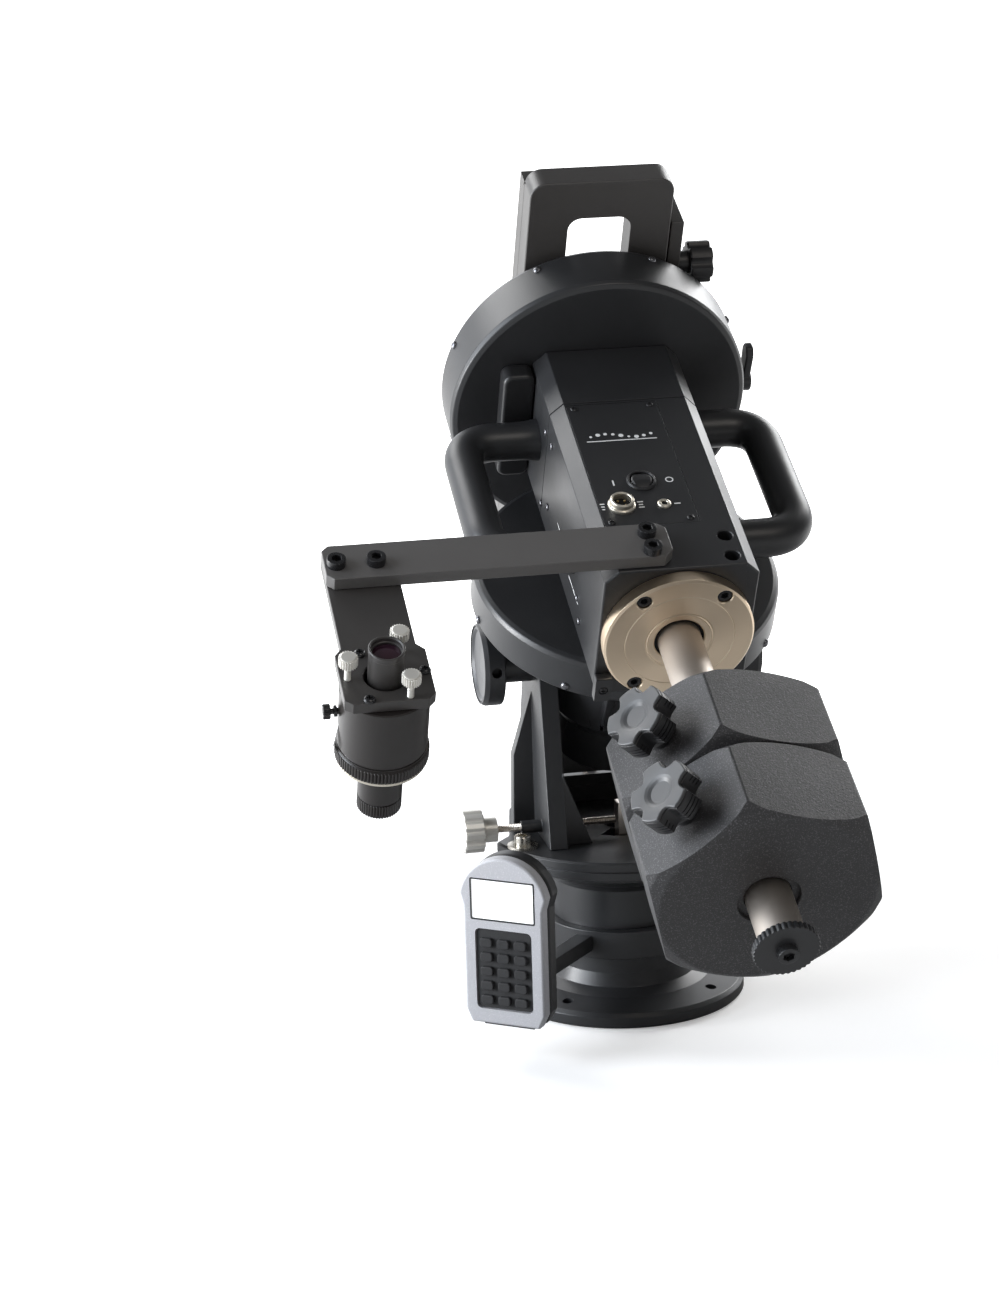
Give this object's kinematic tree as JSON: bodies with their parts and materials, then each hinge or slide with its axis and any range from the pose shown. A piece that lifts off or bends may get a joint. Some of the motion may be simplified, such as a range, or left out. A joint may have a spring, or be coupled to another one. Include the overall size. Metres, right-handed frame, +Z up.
{
  "type": "equatorial mount",
  "caption": "Heavy equatorial telescope mount head with fork base, worm-driven polar and declination axes, sliding hexagonal counterweights, clamp saddle, off-axis polar scope and handset.",
  "frame": {"origin": "centre of the flat face that bolts down to a pier, on the azimuth axis", "axes": "+Z up along the azimuth axis; -Y towards the pole the polar axis points at; X along the altitude axis, with the polar scope bracket at -X"},
  "size_m": [0.393, 0.6641, 0.6391],
  "materials": {
    "black_paint": "satin black paint",
    "cast_paint": "black paint on a casting, slightly grained",
    "weight_paint": "dark grey hammered powder coat",
    "steel": "turned stainless steel, satin",
    "chrome": "bright nickel plate",
    "brass": "gold flash",
    "bronze": "machined bronze",
    "silver_knob": "satin silver, knurled",
    "black_anodised": "black anodised aluminium",
    "black_plastic": "moulded black plastic",
    "grey_plastic": "grained grey plastic",
    "rubber": "soft black rubber",
    "screen": "blank backlit screen",
    "board": "green solder mask"
  },
  "bodies": {
    "pier": {"pier_adapter": "black_paint", "azimuth_post": "steel", "handset_holder": "black_paint", "handset_back": "black_plastic", "handset_front": "grey_plastic", "handset_display": "screen"},
    "keypad": {"handset_keypad": "rubber"},
    "fork": {"turntable": "black_paint", "fork_arm_left": "cast_paint", "fork_arm_right": "cast_paint", "altitude_bracket": "black_paint"},
    "azimuth_screw_left": {"azimuth_screw_left": "steel"},
    "azimuth_screw_right": {"azimuth_screw_right": "steel"},
    "azimuth_knob_left": {"azimuth_knob_left": "silver_knob"},
    "azimuth_knob_right": {"azimuth_knob_right": "silver_knob"},
    "altitude_screw": {"altitude_screw": "steel"},
    "altitude_lock_left": {"altitude_lock_left": "black_paint"},
    "altitude_lock_right": {"altitude_lock_right": "black_paint"},
    "altitude_body": {"ra_housing": "black_paint", "ra_drum": "black_paint", "ra_motor_cover": "black_plastic"},
    "ra_worm": {"ra_worm": "steel"},
    "ra_clutch_lever": {"ra_clutch_lever": "black_paint"},
    "polar_body": {"ra_shaft": "steel", "ra_worm_wheel": "bronze", "dec_housing": "black_paint", "front_panel": "black_paint", "power_connector": "chrome", "snap_jack": "brass", "circuit_board": "board", "handle_left": "black_paint", "handle_right": "black_paint", "counterweight_flange": "steel", "counterweight_shaft": "steel", "shaft_end_stop": "black_paint", "dec_motor_cover": "black_plastic", "dec_drum": "black_paint", "scope_bar": "black_anodised", "scope_plate": "black_anodised", "scope_barrel": "black_anodised", "scope_tube": "black_anodised"},
    "power_switch": {"power_switch": "black_plastic"},
    "scope_focus_ring": {"scope_focus_ring": "black_anodised"},
    "scope_eyepiece": {"scope_eyepiece": "black_anodised"},
    "scope_thumbscrew_1": {"scope_thumbscrew_1": "silver_knob"},
    "scope_thumbscrew_2": {"scope_thumbscrew_2": "silver_knob"},
    "scope_thumbscrew_3": {"scope_thumbscrew_3": "silver_knob"},
    "scope_side_screw": {"scope_side_screw": "black_anodised"},
    "dec_worm": {"dec_worm": "steel"},
    "dec_clutch_lever": {"dec_clutch_lever": "black_paint"},
    "declination_body": {"dec_worm_wheel": "bronze", "dec_shaft": "steel", "saddle": "black_anodised"},
    "saddle_jaw": {"saddle_jaw": "black_anodised"},
    "saddle_knob_front": {"saddle_knob_front": "black_plastic"},
    "saddle_knob_back": {"saddle_knob_back": "black_plastic"},
    "counterweight_upper": {"counterweight_upper": "weight_paint"},
    "counterweight_lower": {"counterweight_lower": "weight_paint"},
    "counterweight_knob_upper": {"counterweight_knob_upper": "black_plastic"},
    "counterweight_knob_lower": {"counterweight_knob_lower": "black_plastic"}
  },
  "joints": [
    {"name": "keypad_press", "type": "slide", "parent": "pier", "child": "keypad", "axis": [0.5736, 0.8192, 0], "range_m": [0, 0.0008]},
    {"name": "azimuth", "type": "hinge", "parent": "pier", "child": "fork", "pos_m": [0, 0, 0.12], "axis": [0, 0, -1], "range_deg": [-9, 9]},
    {"name": "azimuth_screw_left_advance", "type": "slide", "parent": "fork", "child": "azimuth_screw_left", "axis": [1, 0, 0], "range_m": [-0.004, 0.004]},
    {"name": "azimuth_knob_left_turn", "type": "hinge", "parent": "azimuth_screw_left", "child": "azimuth_knob_left", "pos_m": [-0.12, -0.025, 0.1458], "axis": [1, 0, 0], "continuous": true},
    {"name": "altitude_lock_left_turn", "type": "hinge", "parent": "fork", "child": "altitude_lock_left", "pos_m": [-0.1, 0, 0.27], "axis": [-1, 0, 0], "range_deg": [-180, 180]},
    {"name": "azimuth_screw_right_advance", "type": "slide", "parent": "fork", "child": "azimuth_screw_right", "axis": [1, 0, 0], "range_m": [-0.004, 0.004]},
    {"name": "azimuth_knob_right_turn", "type": "hinge", "parent": "azimuth_screw_right", "child": "azimuth_knob_right", "pos_m": [0.12, -0.025, 0.1458], "axis": [1, 0, 0], "continuous": true},
    {"name": "altitude_lock_right_turn", "type": "hinge", "parent": "fork", "child": "altitude_lock_right", "pos_m": [0.1, 0, 0.27], "axis": [1, 0, 0], "range_deg": [-180, 180]},
    {"name": "altitude", "type": "hinge", "parent": "fork", "child": "altitude_body", "pos_m": [0, 0, 0.27], "axis": [-1, 0, 0], "range_deg": [-52, 3]},
    {"name": "altitude_screw_lift", "type": "slide", "parent": "fork", "child": "altitude_screw", "axis": [0, 0, 1], "range_m": [-0.006, 0.1]},
    {"name": "right_ascension", "type": "hinge", "parent": "altitude_body", "child": "polar_body", "pos_m": [0, -0.04131, 0.3477], "axis": [0, -0.4695, 0.8829], "continuous": true},
    {"name": "ra_worm_turn", "type": "hinge", "parent": "altitude_body", "child": "ra_worm", "pos_m": [0, 0.05718, 0.38036], "axis": [1, 0, 0], "continuous": true},
    {"name": "ra_clutch", "type": "hinge", "parent": "altitude_body", "child": "ra_clutch_lever", "pos_m": [0.076, -0.023, 0.31326], "axis": [0, -0.4695, 0.8829], "range_deg": [-30, 30]},
    {"name": "power_rocker", "type": "hinge", "parent": "polar_body", "child": "power_switch", "pos_m": [-0.0085, -0.1284, 0.42756], "axis": [1, 0, 0], "range_deg": [-6, 6]},
    {"name": "focus_turn", "type": "hinge", "parent": "polar_body", "child": "scope_focus_ring", "pos_m": [-0.222, -0.26004, 0.28576], "axis": [0, -0.4695, 0.8829], "range_deg": [-180, 180]},
    {"name": "eyepiece_focus", "type": "slide", "parent": "polar_body", "child": "scope_eyepiece", "axis": [0, -0.4695, 0.8829], "range_m": [-0.0016, 0.0016]},
    {"name": "scope_thumbscrew_1_turn", "type": "hinge", "parent": "polar_body", "child": "scope_thumbscrew_1", "pos_m": [-0.20973, -0.27242, 0.35619], "axis": [0, -0.4695, 0.8829], "continuous": true},
    {"name": "scope_thumbscrew_2_turn", "type": "hinge", "parent": "polar_body", "child": "scope_thumbscrew_2", "pos_m": [-0.2473, -0.29235, 0.3456], "axis": [0, -0.4695, 0.8829], "continuous": true},
    {"name": "scope_thumbscrew_3_turn", "type": "hinge", "parent": "polar_body", "child": "scope_thumbscrew_3", "pos_m": [-0.20897, -0.31111, 0.33562], "axis": [0, -0.4695, 0.8829], "continuous": true},
    {"name": "scope_side_screw_turn", "type": "hinge", "parent": "polar_body", "child": "scope_side_screw", "pos_m": [-0.262, -0.27694, 0.31755], "axis": [1, 0, 0], "continuous": true},
    {"name": "declination", "type": "hinge", "parent": "polar_body", "child": "declination_body", "pos_m": [0, 0.08364, 0.47757], "axis": [0, 0.8829, 0.4695], "continuous": true},
    {"name": "dec_worm_turn", "type": "hinge", "parent": "polar_body", "child": "dec_worm", "pos_m": [0, 0.10885, 0.3751], "axis": [1, 0, 0], "continuous": true},
    {"name": "dec_clutch", "type": "hinge", "parent": "polar_body", "child": "dec_clutch_lever", "pos_m": [0.118, 0.06082, 0.46543], "axis": [1, 0, 0], "range_deg": [0, 40]},
    {"name": "saddle_jaw_slide", "type": "slide", "parent": "declination_body", "child": "saddle_jaw", "axis": [1, 0, 0], "range_m": [0, 0.012]},
    {"name": "saddle_knob_front_turn", "type": "hinge", "parent": "saddle_jaw", "child": "saddle_knob_front", "pos_m": [0.08, 0.05734, 0.55985], "axis": [1, 0, 0], "continuous": true},
    {"name": "saddle_knob_back_turn", "type": "hinge", "parent": "saddle_jaw", "child": "saddle_knob_back", "pos_m": [0.08, 0.13715, 0.40974], "axis": [1, 0, 0], "continuous": true},
    {"name": "counterweight_upper_slide", "type": "slide", "parent": "polar_body", "child": "counterweight_upper", "axis": [0, 0.8829, 0.4695], "range_m": [0, 0.109]},
    {"name": "counterweight_knob_upper_turn", "type": "hinge", "parent": "counterweight_upper", "child": "counterweight_knob_upper", "pos_m": [0, -0.32825, 0.25856], "axis": [-0.7071, -0.332, 0.6243], "continuous": true},
    {"name": "counterweight_lower_slide", "type": "slide", "parent": "polar_body", "child": "counterweight_lower", "axis": [0, 0.8829, 0.4695], "range_m": [-0.038, 0]},
    {"name": "counterweight_knob_lower_turn", "type": "hinge", "parent": "counterweight_lower", "child": "counterweight_knob_lower", "pos_m": [0, -0.39006, 0.22569], "axis": [-0.7071, -0.332, 0.6243], "continuous": true}
  ],
  "couplings": [
    {"joint": "azimuth_screw_left_advance", "follows": "azimuth", "m_per_rad": 0.025},
    {"joint": "azimuth_screw_right_advance", "follows": "azimuth", "m_per_rad": 0.025},
    {"joint": "altitude_screw_lift", "follows": "altitude", "m_per_rad": -0.11},
    {"joint": "ra_worm_turn", "follows": "right_ascension", "ratio": 435},
    {"joint": "eyepiece_focus", "follows": "focus_turn", "m_per_rad": 0.0005},
    {"joint": "dec_worm_turn", "follows": "declination", "ratio": 435}
  ]
}
